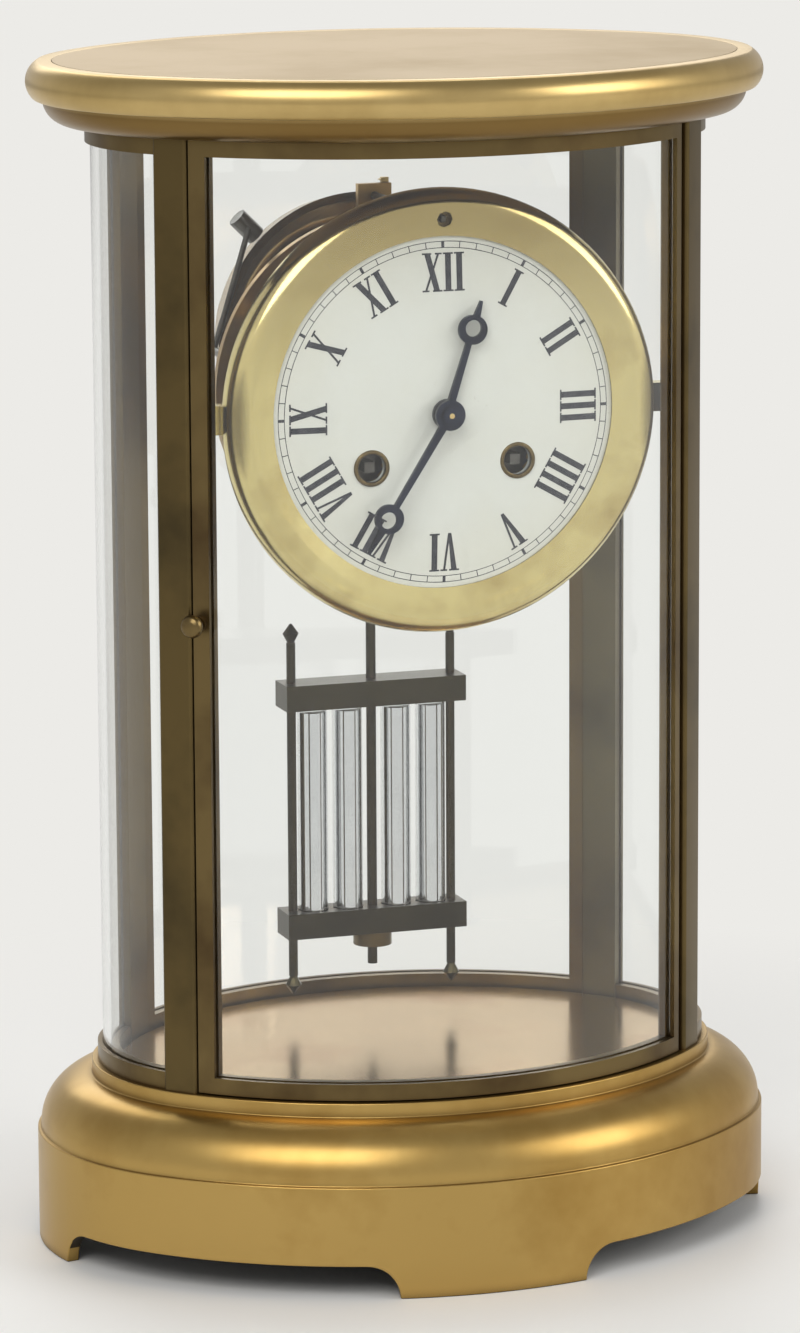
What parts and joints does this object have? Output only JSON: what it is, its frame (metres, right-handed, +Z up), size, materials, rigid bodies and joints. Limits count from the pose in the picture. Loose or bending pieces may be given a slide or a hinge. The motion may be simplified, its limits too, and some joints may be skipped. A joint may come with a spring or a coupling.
{
  "type": "crystal regulator mantel clock",
  "caption": "Oval glazed brass mantel clock with enamel dial, moon hands, bell-striking movement and mercury pendulum behind hinged front and rear glass doors.",
  "frame": {"origin": "on the table under the middle of the clock", "axes": "+Z up, -Y out of the dial, +X to the viewer's right"},
  "size_m": [0.171, 0.134, 0.27],
  "materials": {
    "gilt_brass": "polished and lacquered, mellowed",
    "bezel_brass": "polished",
    "plate_brass": "satin, straight grain",
    "bell_metal": "turned, bright",
    "raw_steel": "polished steel",
    "blued_steel": "dark blued, smooth",
    "white_enamel": "fired glossy enamel",
    "clear_glass": "clear, bent",
    "vial_glass": "clear tube",
    "mercury": "liquid metal, bright"
  },
  "bodies": {
    "case": {"base_plinth": "gilt_brass", "floor_plate": "gilt_brass", "top_cornice": "gilt_brass", "top_panel": "gilt_brass", "post_front_left": "gilt_brass", "post_front_right": "gilt_brass", "post_rear_left": "gilt_brass", "post_rear_right": "gilt_brass", "post_nuts": "raw_steel", "side_rails_left": "gilt_brass", "side_rails_right": "gilt_brass", "side_glass_left": "clear_glass", "side_glass_right": "clear_glass", "dial_bezel": "bezel_brass", "enamel_dial": "white_enamel", "dial_screws": "raw_steel", "front_plate": "plate_brass", "back_plate": "plate_brass", "plate_pillars": "plate_brass", "pillar_pins": "raw_steel", "back_cock": "plate_brass", "suspension_spring_top": "blued_steel", "bell": "bell_metal", "bell_stand": "raw_steel", "winding_clicks": "raw_steel"},
    "front_door": {"front_door_frame": "gilt_brass", "front_door_glass": "clear_glass", "front_door_knob": "gilt_brass", "front_door_pivots": "raw_steel"},
    "rear_door": {"rear_door_frame": "gilt_brass", "rear_door_glass": "clear_glass", "rear_door_knob": "gilt_brass", "rear_door_pivots": "raw_steel"},
    "minute_hand_group": {"minute_hand": "blued_steel", "cannon_pinion": "raw_steel", "hand_nut": "plate_brass"},
    "hour_hand_group": {"hour_hand": "blued_steel", "hour_wheel": "plate_brass"},
    "minute_wheel_group": {"minute_wheel": "plate_brass"},
    "going_barrel_group": {"going_barrel": "plate_brass"},
    "going_winding": {"going_winding_arbor": "raw_steel"},
    "intermediate": {"intermediate_wheel": "plate_brass"},
    "centre": {"centre_wheel": "plate_brass"},
    "third": {"third_wheel": "plate_brass"},
    "escape": {"escape_wheel": "plate_brass"},
    "pallets": {"pallet_anchor": "raw_steel"},
    "strike_barrel_group": {"strike_barrel": "plate_brass"},
    "strike_winding": {"strike_winding_arbor": "raw_steel"},
    "pin_wheel_group": {"pin_wheel": "plate_brass"},
    "warning": {"warning_wheel": "plate_brass"},
    "fly_group": {"fly": "plate_brass"},
    "hammer_group": {"hammer": "raw_steel"},
    "regulator_slide": {"regulator_slider": "plate_brass"},
    "regulator_key": {"regulator_arbor": "raw_steel"},
    "pendulum": {"suspension_spring": "plate_brass", "pendulum_rod": "raw_steel", "pendulum_frame": "plate_brass", "mercury_vials": "vial_glass", "mercury_columns": "mercury"},
    "rating": {"rating_nut": "plate_brass"}
  },
  "joints": [
    {"name": "front_door_hinge", "type": "hinge", "parent": "case", "child": "front_door", "pos_m": [0.05516, -0.02987, 0.14875], "axis": [0, 0, 1], "range_deg": [0, 100]},
    {"name": "rear_door_hinge", "type": "hinge", "parent": "case", "child": "rear_door", "pos_m": [-0.05516, 0.02987, 0.14875], "axis": [0, 0, 1], "range_deg": [0, 100]},
    {"name": "third_turn", "type": "hinge", "parent": "case", "child": "third", "pos_m": [-0.00701, -0.006, 0.20381], "axis": [0, -1, 0], "continuous": true},
    {"name": "centre_turn", "type": "hinge", "parent": "case", "child": "centre", "pos_m": [0, -0.006, 0.193], "axis": [0, -1, 0], "continuous": true},
    {"name": "minute_hand_turn", "type": "hinge", "parent": "case", "child": "minute_hand_group", "pos_m": [0, -0.03, 0.193], "axis": [0, -1, 0], "continuous": true},
    {"name": "minute_wheel_turn", "type": "hinge", "parent": "case", "child": "minute_wheel_group", "pos_m": [0, -0.026, 0.1838], "axis": [0, -1, 0], "continuous": true},
    {"name": "hour_hand_turn", "type": "hinge", "parent": "case", "child": "hour_hand_group", "pos_m": [0, -0.03, 0.193], "axis": [0, -1, 0], "continuous": true},
    {"name": "intermediate_turn", "type": "hinge", "parent": "case", "child": "intermediate", "pos_m": [0.01186, -0.006, 0.19833], "axis": [0, -1, 0], "continuous": true},
    {"name": "going_barrel_turn", "type": "hinge", "parent": "case", "child": "going_barrel_group", "pos_m": [0.017, -0.011, 0.1815], "axis": [0, -1, 0], "continuous": true},
    {"name": "escape_turn", "type": "hinge", "parent": "case", "child": "escape", "pos_m": [0, -0.006, 0.212], "axis": [0, -1, 0], "continuous": true},
    {"name": "going_winding_turn", "type": "hinge", "parent": "case", "child": "going_winding", "pos_m": [0.017, -0.011, 0.1815], "axis": [0, -1, 0], "continuous": true},
    {"name": "strike_winding_turn", "type": "hinge", "parent": "case", "child": "strike_winding", "pos_m": [-0.017, -0.011, 0.1815], "axis": [0, -1, 0], "continuous": true},
    {"name": "warning_turn", "type": "hinge", "parent": "case", "child": "warning", "pos_m": [-0.01881, -0.006, 0.20858], "axis": [0, -1, 0], "continuous": true},
    {"name": "pin_wheel_turn", "type": "hinge", "parent": "case", "child": "pin_wheel_group", "pos_m": [-0.02388, -0.006, 0.1977], "axis": [0, -1, 0], "continuous": true},
    {"name": "strike_barrel_turn", "type": "hinge", "parent": "case", "child": "strike_barrel_group", "pos_m": [-0.017, -0.011, 0.1815], "axis": [0, -1, 0], "continuous": true},
    {"name": "fly_turn", "type": "hinge", "parent": "case", "child": "fly_group", "pos_m": [-0.01429, -0.014, 0.2164], "axis": [0, -1, 0], "continuous": true},
    {"name": "hammer_lift", "type": "hinge", "parent": "case", "child": "hammer_group", "pos_m": [-0.0355, 0, 0.201], "axis": [0, -1, 0], "range_deg": [0, 12], "stiffness_Nm_per_rad": 0.002},
    {"name": "pendulum_swing", "type": "hinge", "parent": "case", "child": "pendulum", "pos_m": [0, 0.0215, 0.224], "axis": [0, 1, 0], "range_deg": [-3, 3]},
    {"name": "pallet_rock", "type": "hinge", "parent": "case", "child": "pallets", "pos_m": [0, 0, 0.224], "axis": [0, 1, 0], "range_deg": [-3, 3]},
    {"name": "regulator_turn", "type": "hinge", "parent": "case", "child": "regulator_key", "pos_m": [0, 0, 0.2362], "axis": [0, -1, 0], "range_deg": [-40, 40]},
    {"name": "regulator_lift", "type": "slide", "parent": "case", "child": "regulator_slide", "axis": [0, 0, 1], "range_m": [-0.0014, 0.0014]},
    {"name": "rating_turn", "type": "hinge", "parent": "pendulum", "child": "rating", "pos_m": [0, 0.0215, 0.06], "axis": [0, 0, 1], "continuous": true}
  ],
  "couplings": [
    {"joint": "centre_turn", "follows": "third_turn", "ratio": -0.16667},
    {"joint": "minute_hand_turn", "follows": "third_turn", "ratio": -0.16667},
    {"joint": "minute_wheel_turn", "follows": "third_turn", "ratio": 0.055556},
    {"joint": "hour_hand_turn", "follows": "third_turn", "ratio": -0.013889},
    {"joint": "intermediate_turn", "follows": "third_turn", "ratio": 0.030303},
    {"joint": "going_barrel_turn", "follows": "third_turn", "ratio": -0.004329},
    {"joint": "escape_turn", "follows": "third_turn", "ratio": -6},
    {"joint": "pin_wheel_turn", "follows": "warning_turn", "ratio": -0.2},
    {"joint": "strike_barrel_turn", "follows": "warning_turn", "ratio": 0.028571},
    {"joint": "fly_turn", "follows": "warning_turn", "ratio": -5.1429},
    {"joint": "pallet_rock", "follows": "pendulum_swing", "ratio": 1},
    {"joint": "regulator_turn", "follows": "regulator_lift", "rad_per_m": 476.19}
  ]
}
